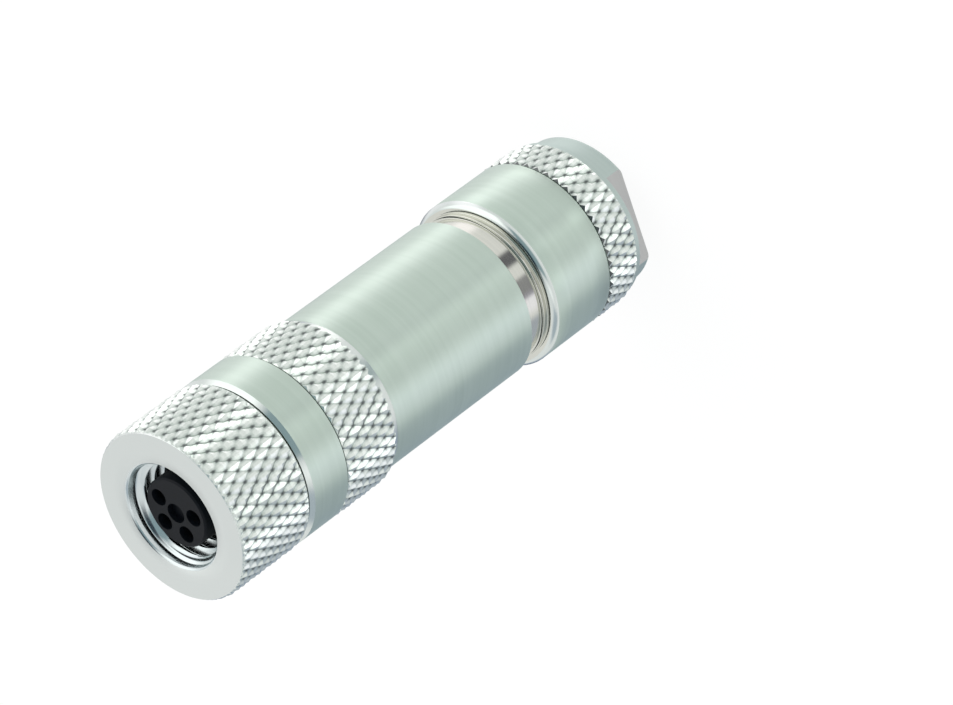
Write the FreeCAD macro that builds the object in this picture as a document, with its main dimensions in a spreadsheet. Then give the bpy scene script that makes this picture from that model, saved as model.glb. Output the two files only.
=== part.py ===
import FreeCAD, Part
import math
import os
import Sketcher

# Circular cable connector, female, four contacts, with a screw coupling.
# The axis is +Z. The origin is the centre of the clamp nut's end face, where the cable leaves.
# The connector stands on that face, and its socket looks up.
# All lengths are in millimetres and all angles in degrees.

SIZES = {
    # contacts: slotted tube, collar, body and solder cup
    "contact_positions": 5,
    "contact_count": 4,
    "first_contact_angle": 17.6,
    "contact_circle_radius": 1.63,
    "contact_recess": 1.0,
    "contact_bore_radius": 0.4,
    "contact_bore_depth": 5.0,
    "contact_tube_wall": 0.2,
    "contact_slot_half_width": 0.1,
    "contact_slot_count": 4,
    "contact_slot_depth": 3.5,
    "contact_collar_height": 0.19,
    "contact_collar_length": 1.0,
    "contact_body_radius": 0.66,
    "contact_body_length": 3.8,
    "cup_bore_radius": 0.5,
    "cup_wall": 0.22,
    "cup_length": 3.6,
    "cup_bore_depth": 2.8,
    "cup_opening_length": 2.2,
    # contact insert: stem, flange, seat of the face seal, and the plug that stands in the coupling nut
    "insert_recess": 0.5,
    "stem_wall": 0.6,
    "stem_length": 5.4,
    "insert_flange_length": 2.2,
    "seal_seat_step": 0.24,
    "seal_seat_margin": 0.25,
    "plug_wall": 0.39,
    "plug_edge_chamfer": 0.12,
    "dimple_radius": 0.75,
    "dimple_depth": 0.5,
    "contact_chamber_depth": 5.0,
    # nose of the front body, which carries the coupling nut, and the snap ring in its groove
    "nose_wall": 0.85,
    "nose_rim_length": 0.4,
    "snap_groove_depth": 0.4,
    "snap_ring_height": 0.45,
    "snap_ring_thickness": 0.5,
    "snap_ring_half_opening": 0.7,
    # coupling nut
    "nut_gap": 0.25,
    "nut_wall": 1.2,
    "nut_length": 6.65,
    "nut_front_chamfer": 0.24,
    "nut_rear_break": 0.2,
    "nut_lip_length": 1.05,
    "socket_wall_space": 0.8,
    "nut_mouth_step": 0.54,
    "nut_mouth_break": 0.15,
    "nut_mouth_depth": 0.9,
    "nut_mouth_taper": 0.28,
    "nut_mouth_cone": 0.3,
    # diamond knurl on the coupling nut, the body sleeve and the clamp nut
    "knurl_count": 45,
    "knurl_angle": 30.0,
    "knurl_depth": 0.2,
    "knurl_rise": 0.06,
    "knurl_skim": 0.02,
    "knurl_overrun": 0.3,
    # front body: spigot in the body sleeve, and smooth band
    "front_band_length": 3.65,
    "front_band_chamfer": 0.28,
    "front_band_rear_break": 0.06,
    "spigot_length": 6.1,
    "spigot_wall": 0.75,
    "front_groove_depth": 0.35,
    "insert_seat_thickness": 1.8,
    # gap between the body sleeve and the front body, with a sealing ring behind it
    "front_gap": 0.1,
    # body sleeve: barrel, cone and knurled front end
    "barrel_step": 0.36,
    "barrel_length": 14.4,
    "barrel_rear_break": 0.1,
    "sleeve_cone_length": 0.95,
    "sleeve_knurl_length": 4.55,
    "sleeve_knurl_break": 0.2,
    "sleeve_wall": 0.98,
    "sleeve_thread_height": 0.25,
    "sleeve_rear_thread_depth": 3.05,
    # rear body: smooth band, then the male thread that the body sleeve screws on
    "rear_band_front_chamfer": 0.4,
    "rear_band_rear_break": 0.1,
    "neck_length": 2.05,
    "seal_chamber_wall": 0.4,
    "seal_chamber_end_wall": 0.75,
    "clamp_thread_height": 0.4,
    # shield ring: collar in the rear body's throat, and flange in its seat
    "shield_seat_depth": 1.4,
    "shield_flange_width": 0.5,
    "shield_collar_wall": 0.35,
    "shield_collar_length": 0.8,
    # gap between the clamp nut's head and the rear body
    "clamp_gap": 0.1,
    # clamp nut: round end with two wrench flats, plain land, knurled head, and a shank in the rear body
    "clamp_end_step": 0.6,
    "clamp_end_length": 1.75,
    "clamp_end_round_radius": 0.25,
    "clamp_shoulder_length": 0.15,
    "clamp_land_length": 0.4,
    "clamp_knurl_length": 3.0,
    "clamp_knurl_break": 0.2,
    "clamp_shank_length": 3.3,
    "clamp_mouth_wall": 0.65,
    "clamp_mouth_depth": 1.2,
    "cable_bore_break": 0.3,
    "wrench_flat_depth": 1.19,
    "wrench_flat_angle": 62.0,
    "wrench_flat_count": 2,
    # pinch ring, washer and cable seal in the rear body
    "finger_length": 2.25,
    "finger_tip_reserve": 0.5,
    "finger_slot_half_width": 0.3,
    "finger_count": 8,
    "pinch_ring_step": 0.2,
    "pinch_ring_base_length": 1.2,
    "washer_step": 0.1,
    "washer_thickness": 0.4,
    "cable_seal_squeeze": 0.4,
    "cable_seal_length": 4.8,
    "cable_seal_chamfer": 0.4,
    # ring that holds the insert in the front body, turned by two slots
    "retainer_thickness": 1.4,
    "retainer_slot_half_width": 0.4,
    "retainer_slot_count": 2,
    "retainer_slot_depth": 0.6,
    # insulating sleeve round the solder cups, split so that it closes over the wires
    "insulator_wall": 0.9,
    "insulator_slot_half_width": 0.6,
    # sealing rings
    "face_seal_wire": 0.9,
    "front_ring_wire": 0.9,
    "rear_ring_wire": 0.8,
    "rear_ring_height": 0.8,
    # running and fitting clearances, the axial ones last
    "thread_play": 0.05,
    "nut_play": 0.08,
    "snap_ring_play": 0.2,
    "seat_play": 0.05,
    "ring_play": 0.05,
    "contact_play": 0.03,
    "contact_way_play": 0.04,
    "chamber_play": 0.15,
    "insulator_play": 0.1,
    "cone_play": 0.1,
    "thread_relief": 0.15,
    "thread_runout": 1.0,
    "nut_end_play": 0.1,
    "nose_end_gap": 0.3,
    "pinch_play": 0.05,
}

# What follows from the sizes above. Radii grow from the contacts outwards, and then from the
# outer skin back in to the cable. Stations along the axis grow from the clamp nut's end face.
DERIVED = {
    "contact_tube_radius": "contact_bore_radius + contact_tube_wall",
    "contact_collar_radius": "contact_tube_radius + contact_collar_height",
    "contact_chamber_radius": "contact_collar_radius + contact_play",
    "contact_hole_radius": "contact_tube_radius + contact_way_play",
    "cup_radius": "cup_bore_radius + cup_wall",
    "stem_radius": "contact_circle_radius + contact_chamber_radius + stem_wall",
    "plug_radius": "contact_circle_radius + contact_hole_radius + plug_wall",
    "seal_seat_radius": "plug_radius + seal_seat_step",
    "nose_bore_radius": "seal_seat_radius + face_seal_wire + ring_play + ring_play",
    "insert_flange_radius": "nose_bore_radius - seat_play",
    "nose_radius": "nose_bore_radius + nose_wall",
    "snap_groove_radius": "nose_radius - snap_groove_depth",
    "snap_ring_radius": "nose_radius + snap_ring_height",
    "nut_minor_radius": "plug_radius + socket_wall_space",
    "nut_mouth_radius": "nut_minor_radius + nut_mouth_step",
    "nut_cavity_radius": "snap_ring_radius + snap_ring_play",
    "knurl_radius": "nut_cavity_radius + nut_wall",
    "blank_radius": "knurl_radius + knurl_skim",
    "band_radius": "knurl_radius - knurl_rise",
    "barrel_radius": "band_radius - barrel_step",
    "sleeve_thread_radius": "barrel_radius - sleeve_wall",
    "sleeve_bore_radius": "sleeve_thread_radius - sleeve_thread_height",
    "spigot_radius": "sleeve_thread_radius - thread_play",
    "carrier_bore_radius": "spigot_radius - spigot_wall",
    "front_groove_radius": "spigot_radius - front_groove_depth",
    "front_ring_radius": "front_groove_radius + ring_play + front_ring_wire",
    "front_ring_seat_depth": "front_ring_wire - front_gap",
    "insulator_radius": "carrier_bore_radius - insulator_play",
    "insulator_bore_radius": "insulator_radius - insulator_wall",
    "rear_spigot_radius": "sleeve_bore_radius - seat_play",
    "rear_groove_radius": "rear_spigot_radius - rear_ring_wire - ring_play",
    "seal_chamber_radius": "rear_spigot_radius - seal_chamber_wall",
    "chamber_fit_radius": "seal_chamber_radius - chamber_play",
    "clamp_thread_radius": "seal_chamber_radius + clamp_thread_height",
    "shank_radius": "clamp_thread_radius - thread_play",
    "clamp_mouth_radius": "shank_radius - clamp_mouth_wall",
    "cable_bore_radius": "clamp_mouth_radius - clamp_mouth_depth",
    "clamp_end_radius": "band_radius - clamp_end_step",
    "clamp_land_radius": "knurl_radius - knurl_depth - knurl_skim",
    "half_across_flats": "clamp_end_radius - wrench_flat_depth",
    "finger_radius": "clamp_mouth_radius - cone_play",
    "finger_tip_depth": "clamp_mouth_depth - finger_tip_reserve",
    "finger_tip_radius": "finger_radius - finger_tip_depth",
    "pinch_ring_bore_radius": "cable_bore_radius - pinch_ring_step",
    "washer_bore_radius": "cable_bore_radius - washer_step",
    "cable_seal_bore_radius": "cable_bore_radius - cable_seal_squeeze",
    "shield_ring_bore_radius": "washer_bore_radius",
    "throat_radius": "shield_ring_bore_radius + shield_collar_wall + seat_play",
    "shield_seat_radius": "throat_radius + shield_flange_width",
    "clamp_land_station": "clamp_end_length + clamp_shoulder_length",
    "clamp_knurl_station": "clamp_land_station + clamp_land_length",
    "clamp_head_length": "clamp_knurl_station + clamp_knurl_length",
    "clamp_top": "clamp_head_length + clamp_shank_length",
    "pinch_ring_station": "clamp_top - finger_tip_depth",
    "pinch_ring_length": "finger_length + pinch_ring_base_length",
    "washer_station": "pinch_ring_station + pinch_ring_length + pinch_play",
    "cable_seal_station": "washer_station + washer_thickness",
    "seal_chamber_top": "cable_seal_station + cable_seal_length",
    "rear_body_station": "clamp_head_length + clamp_gap",
    "clamp_thread_depth": "clamp_shank_length - clamp_gap + thread_runout",
    "rear_ring_station": "seal_chamber_top + seal_chamber_end_wall",
    "rear_thread_top": "rear_ring_station - rear_ring_height",
    "sleeve_station": "rear_thread_top + seat_play - sleeve_rear_thread_depth",
    "neck_station": "sleeve_station - neck_length",
    "throat_top": "rear_ring_station + rear_ring_wire + seat_play",
    "rear_body_top": "throat_top + shield_seat_depth",
    "sleeve_length": "barrel_length + sleeve_cone_length + sleeve_knurl_length",
    "sleeve_top": "sleeve_station + sleeve_length",
    "front_band_station": "sleeve_top + front_gap",
    "front_body_station": "front_band_station - spigot_length",
    "sleeve_front_thread_depth": "spigot_length - front_gap + thread_relief",
    "nut_station": "front_band_station + front_band_length + nut_gap",
    "nut_top": "nut_station + nut_length",
    "snap_ring_station": "nut_station + nut_lip_length + nut_end_play",
    "nose_top": "snap_ring_station + snap_ring_thickness + nose_rim_length",
    "nut_cavity_top": "nose_top + nose_end_gap",
    "insert_seat_station": "nose_top - face_seal_wire - insert_flange_length",
    "insert_station": "insert_seat_station - stem_length",
    "face_seal_station": "nose_top - face_seal_wire",
    "plug_station": "nose_top + seal_seat_margin",
    "insert_top": "nut_top - insert_recess",
    "contact_seat": "insert_station + contact_chamber_depth",
    "contact_shank_length": "cup_length + contact_body_length + contact_collar_length",
    "contact_station": "contact_seat - contact_shank_length",
    "contact_length": "insert_top - contact_recess - contact_station",
    "insert_seat_floor": "insert_seat_station - insert_seat_thickness",
    "retainer_station": "insert_seat_floor - retainer_thickness",
    "insulator_length": "retainer_station - rear_body_top",
}

# Two places closer than this are the same.
SAME_PLACE = 1e-6

doc = FreeCAD.newDocument("circular_connector")
sheet = doc.addObject("Spreadsheet::Sheet", "Sizes")
pieces = []


def fill_sheet():
    """Writes the driving sizes as plain numbers, then what is derived from them."""
    cells = [(name, str(value)) for name, value in SIZES.items()]
    cells += [(name, "=" + formula) for name, formula in DERIVED.items()]
    for row, (name, content) in enumerate(cells, start=1):
        sheet.set(f"A{row}", name)
        sheet.set(f"B{row}", content)
        sheet.setAlias(f"B{row}", name)
    doc.recompute()


def value(formula):
    """Number for a sum of sheet names, such as "nut_radius - nut_rear_break"."""
    total = 0.0
    sign = 1
    for word in formula.split():
        if word in ("+", "-"):
            sign = 1 if word == "+" else -1
        elif word == "0":
            continue
        else:
            total += sign * sheet.get(word)
    return total


def bound(formula):
    """The same sum, as an expression that reads the sheet."""
    words = [word if word in ("+", "-", "0") else "Sizes." + word for word in formula.split()]
    return " ".join(words)


def origin_feature(body, role):
    return next(item for item in body.Origin.OriginFeatures if item.Role == role)


def new_sketch(body, name, role, level="0"):
    """A sketch on one of the body's own planes, lifted along the plane's normal."""
    sketch = body.newObject("Sketcher::SketchObject", name)
    sketch.AttachmentSupport = [(origin_feature(body, role), "")]
    sketch.MapMode = "FlatFace"
    if level != "0":
        sketch.setExpression("AttachmentOffset.Base.z", bound(level))
    return sketch


def fix_point(sketch, geometry, point, x, y):
    """Ties one point of the sketch to sums of the sheet's sizes, measured from the origin."""
    for kind, formula in (("DistanceX", x), ("DistanceY", y)):
        index = sketch.addConstraint(Sketcher.Constraint(kind, -1, 1, geometry, point, value(formula)))
        if formula != "0":
            sketch.setExpression(f"Constraints[{index}]", bound(formula))


def draw_outline(sketch, corners):
    """A closed outline of straight lines through corners given as sums of sizes."""
    points = [FreeCAD.Vector(value(x), value(y), 0) for x, y in corners]
    count = len(points)
    for index in range(count):
        sketch.addGeometry(Part.LineSegment(points[index], points[(index + 1) % count]))
    for index in range(count):
        sketch.addConstraint(Sketcher.Constraint("Coincident", index, 2, (index + 1) % count, 1))
    for index, (x, y) in enumerate(corners):
        fix_point(sketch, index, 1, x, y)


def draw_circle(sketch, x, radius):
    """A circle centred on the sketch's own X axis."""
    centre = FreeCAD.Vector(value(x), 0, 0)
    index = sketch.addGeometry(Part.Circle(centre, FreeCAD.Vector(0, 0, 1), value(radius)))
    fix_point(sketch, index, 3, x, "0")
    size = sketch.addConstraint(Sketcher.Constraint("Radius", index, value(radius)))
    sketch.setExpression(f"Constraints[{size}]", bound(radius))


def finish(piece, label):
    piece.Label = label
    pieces.append(piece)
    return piece


def turned(label, corners, station="0"):
    """A turned piece: its half section, as radius and height from its own base, revolved about Z."""
    body = doc.addObject("PartDesign::Body", label)
    sketch = new_sketch(body, label + "_section", "XZ_Plane")
    draw_outline(sketch, corners)
    revolution = body.newObject("PartDesign::Revolution", label + "_turning")
    revolution.Profile = sketch
    revolution.ReferenceAxis = (sketch, ["V_Axis"])
    revolution.Angle = 360
    if station != "0":
        body.setExpression("Placement.Base.z", bound(station))
    doc.recompute()
    return finish(body, label)


def round_rim(body, name, rim_radius, level, size):
    """Rounds the circular rim of a given radius at a given level of a turned body."""
    turning = body.Tip
    rims = [
        f"Edge{number}" for number, edge in enumerate(turning.Shape.Edges, start=1)
        if isinstance(edge.Curve, Part.Circle)
        and math.isclose(edge.Curve.Radius, value(rim_radius), abs_tol=SAME_PLACE)
        and math.isclose(edge.Curve.Center.z, value(level), abs_tol=SAME_PLACE)
    ]
    rounding = body.newObject("PartDesign::Fillet", name)
    rounding.Base = (turning, rims)
    rounding.Radius = value(size)
    rounding.setExpression("Radius", bound(size))
    doc.recompute()
    return rounding


def cut(body, name, draw, level, depth, upward):
    """Cuts a drawn shape from a level of the body, up or down along its axis."""
    before = body.Shape.Volume
    sketch = new_sketch(body, name + "_sketch", "XY_Plane", level)
    draw(sketch)
    pocket = body.newObject("PartDesign::Pocket", name)
    pocket.Profile = sketch
    pocket.Type = "Length"
    pocket.Length = value(depth)
    pocket.setExpression("Length", bound(depth))
    pocket.Reversed = upward
    doc.recompute()
    if not body.Shape.Volume < before:
        raise RuntimeError(name + " removes nothing")
    return pocket


def cut_hole(body, name, x, radius, level, depth, upward=False):
    return cut(body, name, lambda sketch: draw_circle(sketch, x, radius), level, depth, upward)


def cut_slot(body, name, inner, outer, half_width, level, depth, upward=False):
    """A straight slot along the body's own X axis, from one radius to another."""
    corners = [(inner, "- " + half_width), (outer, "- " + half_width), (outer, half_width), (inner, half_width)]
    return cut(body, name, lambda sketch: draw_outline(sketch, corners), level, depth, upward)


def repeat_round(body, feature, count, step):
    """Repeats a cut about the body's axis, a fixed number of degrees apart."""
    before = body.Shape.Volume
    pattern = body.newObject("PartDesign::PolarPattern", feature.Name + "_pattern")
    pattern.Originals = [feature]
    pattern.Axis = (origin_feature(body, "Z_Axis"), [""])
    pattern.Mode = "Spacing"
    pattern.setExpression("Offset", step)
    pattern.Occurrences = int(value(count))
    pattern.setExpression("Occurrences", bound(count))
    body.Tip = pattern
    doc.recompute()
    if not body.Shape.Volume < before:
        raise RuntimeError(feature.Name + " pattern removes nothing")


def sealing_ring(label, inner_radius, wire, base):
    """A round-section ring that rests at a height and has a given inner radius."""
    ring = doc.addObject("Part::Torus", label)
    ring.setExpression("Radius1", f"{bound(inner_radius)} + Sizes.{wire} / 2")
    ring.setExpression("Radius2", f"Sizes.{wire} / 2")
    ring.setExpression("Placement.Base.z", f"{bound(base)} + Sizes.{wire} / 2")
    return finish(ring, label)


def turn_about_axis(piece, angle):
    """Turns a piece about Z by an angle expression in degrees, keeping its station."""
    piece.Placement = FreeCAD.Placement(piece.Placement.Base, FreeCAD.Rotation(FreeCAD.Vector(0, 0, 1), 1))
    piece.setExpression("Placement.Rotation.Angle", angle)


def knurl_cutter(name, base, top):
    """A ring whose inside is the negative of the diamond knurl, between two stations.

    Grooves of both hands cross on a grid of half pitches, with a pyramid on every second point.
    """
    around = 2 * int(value("knurl_count"))
    crest = value("knurl_radius")
    valley = value("knurl_radius - knurl_depth")
    outside = crest + value("knurl_depth")
    half_turn = 2 * math.pi / around
    half_rise = crest * half_turn / math.tan(math.radians(value("knurl_angle")))
    rows = math.ceil((value(top) - value(base)) / half_rise)

    def point(radius, column, row):
        angle = column * half_turn
        return FreeCAD.Vector(radius * math.cos(angle), radius * math.sin(angle), row * half_rise)

    def tooth_point(column, row):
        return point(valley if (column + row) % 2 else crest, column, row)

    def face(*corners):
        return Part.Face(Part.makePolygon([*corners, corners[0]]))

    faces = []
    for column in range(around):
        for row in range(rows):
            low, low_next = tooth_point(column, row), tooth_point(column + 1, row)
            high, high_next = tooth_point(column, row + 1), tooth_point(column + 1, row + 1)
            if (column + row) % 2:
                faces += [face(low, low_next, high_next), face(low, high_next, high)]
            else:
                faces += [face(low, low_next, high), face(low_next, high_next, high)]
        for row in (0, rows):
            faces.append(face(tooth_point(column, row), tooth_point(column + 1, row),
                              point(outside, column + 1, row), point(outside, column, row)))
        faces.append(face(point(outside, column, 0), point(outside, column + 1, 0),
                          point(outside, column + 1, rows), point(outside, column, rows)))
    cutter = doc.addObject("Part::Feature", name)
    cutter.Shape = Part.Solid(Part.makeShell(faces))
    cutter.Placement = FreeCAD.Placement(FreeCAD.Vector(0, 0, value(base)), FreeCAD.Rotation())
    return cutter


def knurl(blank, base, top):
    """Knurls a turned blank between two stations. The knurled piece takes the blank's label."""
    label = blank.Label
    blank.Label = label + "_blank"
    knurled = doc.addObject("Part::Cut", label + "_knurled")
    knurled.Base = blank
    knurled.Tool = knurl_cutter(label + "_knurl", base, top)
    doc.recompute()
    if not knurled.Shape.Volume < blank.Shape.Volume:
        raise RuntimeError(label + " is not knurled")
    pieces.remove(blank)
    return finish(knurled, label)


def clamp_nut():
    nut = turned("clamp_nut", [
        ("cable_bore_radius + cable_bore_break", "0"),
        ("clamp_end_radius", "0"),
        ("clamp_end_radius", "clamp_end_length"),
        ("clamp_land_radius", "clamp_land_station"),
        ("clamp_land_radius", "clamp_knurl_station"),
        ("blank_radius", "clamp_knurl_station + clamp_knurl_break"),
        ("blank_radius", "clamp_head_length - clamp_knurl_break"),
        ("blank_radius - clamp_knurl_break", "clamp_head_length"),
        ("shank_radius", "clamp_head_length"),
        ("shank_radius", "clamp_top"),
        ("clamp_mouth_radius", "clamp_top"),
        ("cable_bore_radius", "clamp_top - clamp_mouth_depth"),
        ("cable_bore_radius", "cable_bore_break"),
    ])
    round_rim(nut, "clamp_end_round", "clamp_end_radius", "0", "clamp_end_round_radius")
    flat = cut_slot(nut, "wrench_flat", "half_across_flats", "blank_radius", "blank_radius",
                    "0", "clamp_end_length", upward=True)
    repeat_round(nut, flat, "wrench_flat_count", "360 / Sizes.wrench_flat_count")
    turn_about_axis(nut, "Sizes.wrench_flat_angle")
    knurl(nut, "clamp_land_station", "clamp_head_length + knurl_overrun")


def pinch_ring():
    ring = turned("pinch_ring", [
        ("pinch_ring_bore_radius", "0"),
        ("finger_tip_radius", "0"),
        ("finger_radius", "finger_tip_depth"),
        ("finger_radius", "finger_length"),
        ("chamber_fit_radius", "finger_length"),
        ("chamber_fit_radius", "pinch_ring_length"),
        ("pinch_ring_bore_radius", "pinch_ring_length"),
    ], "pinch_ring_station")
    slot = cut_slot(ring, "finger_slot", "0", "seal_chamber_radius", "finger_slot_half_width",
                    "0", "finger_length", upward=True)
    repeat_round(ring, slot, "finger_count", "360 / Sizes.finger_count")


def seal_stack():
    turned("seal_washer", [
        ("washer_bore_radius", "0"),
        ("chamber_fit_radius", "0"),
        ("chamber_fit_radius", "washer_thickness"),
        ("washer_bore_radius", "washer_thickness"),
    ], "washer_station")
    turned("cable_seal", [
        ("cable_seal_bore_radius", "0"),
        ("chamber_fit_radius - cable_seal_chamfer", "0"),
        ("chamber_fit_radius", "cable_seal_chamfer"),
        ("chamber_fit_radius", "cable_seal_length - cable_seal_chamfer"),
        ("chamber_fit_radius - cable_seal_chamfer", "cable_seal_length"),
        ("cable_seal_bore_radius", "cable_seal_length"),
    ], "cable_seal_station")


def rear_body():
    """Drawn from the origin, so that its inside follows the clamp nut and the seal."""
    thread_floor = "rear_body_station + clamp_thread_depth"
    ring_base = "rear_ring_station"
    ring_top = "rear_ring_station + rear_ring_wire"
    turned("rear_body", [
        ("clamp_thread_radius", "rear_body_station"),
        ("band_radius - rear_band_rear_break", "rear_body_station"),
        ("band_radius", "rear_body_station + rear_band_rear_break"),
        ("band_radius", "neck_station - rear_band_front_chamfer"),
        ("band_radius - rear_band_front_chamfer", "neck_station"),
        ("spigot_radius", "neck_station"),
        ("spigot_radius", "rear_thread_top"),
        ("rear_spigot_radius", "rear_thread_top"),
        ("rear_spigot_radius", ring_base),
        ("rear_groove_radius", ring_base),
        ("rear_groove_radius", ring_top),
        ("rear_spigot_radius", ring_top),
        ("rear_spigot_radius", "rear_body_top"),
        ("shield_seat_radius", "rear_body_top"),
        ("shield_seat_radius", "throat_top"),
        ("throat_radius", "throat_top"),
        ("throat_radius", "seal_chamber_top"),
        ("seal_chamber_radius", "seal_chamber_top"),
        ("seal_chamber_radius", thread_floor),
        ("clamp_thread_radius", thread_floor),
    ])
    sealing_ring("rear_sealing_ring", "rear_groove_radius + ring_play", "rear_ring_wire", "rear_ring_station")


def shield_ring():
    collar = "throat_radius - seat_play"
    flange = "shield_seat_radius - seat_play"
    turned("shield_ring", [
        ("shield_ring_bore_radius", "throat_top - shield_collar_length"),
        (collar, "throat_top - shield_collar_length"),
        (collar, "throat_top"),
        (flange, "throat_top"),
        (flange, "rear_body_top"),
        ("shield_ring_bore_radius", "rear_body_top"),
    ])


def body_sleeve():
    cone_top = "barrel_length + sleeve_cone_length"
    seat_radius = "front_ring_radius + ring_play"
    seat_floor = "sleeve_length - front_ring_seat_depth"
    thread_floor = "sleeve_length - sleeve_front_thread_depth"
    sleeve = turned("body_sleeve", [
        ("sleeve_thread_radius", "0"),
        ("barrel_radius - barrel_rear_break", "0"),
        ("barrel_radius", "barrel_rear_break"),
        ("barrel_radius", "barrel_length"),
        ("blank_radius", cone_top),
        ("blank_radius", "sleeve_length - sleeve_knurl_break"),
        ("blank_radius - sleeve_knurl_break", "sleeve_length"),
        (seat_radius, "sleeve_length"),
        (seat_radius, seat_floor),
        ("sleeve_thread_radius", seat_floor),
        ("sleeve_thread_radius", thread_floor),
        ("sleeve_bore_radius", thread_floor),
        ("sleeve_bore_radius", "sleeve_rear_thread_depth"),
        ("sleeve_thread_radius", "sleeve_rear_thread_depth"),
    ], "sleeve_station")
    knurl(sleeve, "sleeve_station + barrel_length", "sleeve_top + knurl_overrun")


def insulating_sleeve():
    sleeve = turned("insulating_sleeve", [
        ("insulator_bore_radius", "0"),
        ("insulator_radius", "0"),
        ("insulator_radius", "insulator_length"),
        ("insulator_bore_radius", "insulator_length"),
    ], "rear_body_top")
    cut_slot(sleeve, "insulator_slot", "0", "insulator_radius + insulator_play", "insulator_slot_half_width",
             "0", "insulator_length", upward=True)


def front_body():
    """Drawn from the origin, because its spigot, band and nose each follow another piece."""
    groove_floor = "front_band_station - front_ring_wire"
    band_top = "front_band_station + front_band_length"
    groove_top = "snap_ring_station + snap_ring_thickness"
    turned("front_body", [
        ("carrier_bore_radius", "front_body_station"),
        ("spigot_radius", "front_body_station"),
        ("spigot_radius", groove_floor),
        ("front_groove_radius", groove_floor),
        ("front_groove_radius", "front_band_station"),
        ("band_radius - front_band_rear_break", "front_band_station"),
        ("band_radius", "front_band_station + front_band_rear_break"),
        ("band_radius", band_top + " - front_band_chamfer"),
        ("band_radius - front_band_chamfer", band_top),
        ("nose_radius", band_top),
        ("nose_radius", "snap_ring_station"),
        ("snap_groove_radius", "snap_ring_station"),
        ("snap_groove_radius", groove_top),
        ("nose_radius", groove_top),
        ("nose_radius", "nose_top"),
        ("nose_bore_radius", "nose_top"),
        ("nose_bore_radius", "insert_seat_station"),
        ("stem_radius + seat_play", "insert_seat_station"),
        ("stem_radius + seat_play", "insert_seat_floor"),
        ("carrier_bore_radius", "insert_seat_floor"),
    ])
    sealing_ring("front_sealing_ring", "front_groove_radius + ring_play", "front_ring_wire", groove_floor)


def coupling_nut():
    cone_top = "nut_length - nut_mouth_depth"
    cavity_top = "nut_cavity_top - nut_station"
    lip = "nose_radius + nut_play"
    nut = turned("coupling_nut", [
        (lip, "0"),
        ("blank_radius - nut_rear_break", "0"),
        ("blank_radius", "nut_rear_break"),
        ("blank_radius", "nut_length - nut_front_chamfer"),
        ("blank_radius - nut_front_chamfer", "nut_length"),
        ("nut_mouth_radius + nut_mouth_break", "nut_length"),
        ("nut_mouth_radius", "nut_length - nut_mouth_break"),
        ("nut_mouth_radius - nut_mouth_taper", cone_top),
        ("nut_minor_radius", cone_top + " - nut_mouth_cone"),
        ("nut_minor_radius", cavity_top),
        ("nut_cavity_radius", cavity_top),
        ("nut_cavity_radius", "nut_lip_length"),
        (lip, "nut_lip_length"),
    ], "nut_station")
    knurl(nut, "nut_station - knurl_overrun", "nut_top + knurl_overrun")


def nut_snap_ring():
    ring = turned("nut_snap_ring", [
        ("snap_groove_radius", "0"),
        ("snap_ring_radius", "0"),
        ("snap_ring_radius", "snap_ring_thickness"),
        ("snap_groove_radius", "snap_ring_thickness"),
    ], "snap_ring_station")
    cut_slot(ring, "snap_ring_opening", "0", "snap_ring_radius + snap_ring_play", "snap_ring_half_opening",
             "0", "snap_ring_thickness", upward=True)


def contact_insert():
    top = "insert_top - insert_station"
    flange_top = "stem_length + insert_flange_length"
    seal_top = "plug_station - insert_station"
    insert = turned("contact_insert", [
        ("0", "0"),
        ("stem_radius", "0"),
        ("stem_radius", "stem_length"),
        ("insert_flange_radius", "stem_length"),
        ("insert_flange_radius", flange_top),
        ("seal_seat_radius", flange_top),
        ("seal_seat_radius", seal_top),
        ("plug_radius", seal_top),
        ("plug_radius", top + " - plug_edge_chamfer"),
        ("plug_radius - plug_edge_chamfer", top),
        ("0", top),
    ], "insert_station")
    step = "360 / Sizes.contact_positions"
    chamber = cut_hole(insert, "contact_chamber", "contact_circle_radius", "contact_chamber_radius",
                       "0", "contact_chamber_depth", upward=True)
    repeat_round(insert, chamber, "contact_count", step)
    hole = cut_hole(insert, "contact_hole", "contact_circle_radius", "contact_hole_radius",
                    top, top + " - contact_chamber_depth")
    repeat_round(insert, hole, "contact_count", step)
    cut_hole(insert, "centre_dimple", "0", "dimple_radius", top, "dimple_depth")
    turn_about_axis(insert, "Sizes.first_contact_angle")
    sealing_ring("face_seal", "seal_seat_radius + ring_play", "face_seal_wire", "face_seal_station")


def insert_retainer():
    ring = turned("insert_retainer", [
        ("stem_radius + seat_play", "0"),
        ("insulator_radius", "0"),
        ("insulator_radius", "retainer_thickness"),
        ("stem_radius + seat_play", "retainer_thickness"),
    ], "retainer_station")
    slot = cut_slot(ring, "retainer_slot", "0", "carrier_bore_radius", "retainer_slot_half_width",
                    "0", "retainer_slot_depth", upward=True)
    repeat_round(ring, slot, "retainer_slot_count", "360 / Sizes.retainer_slot_count")


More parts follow.
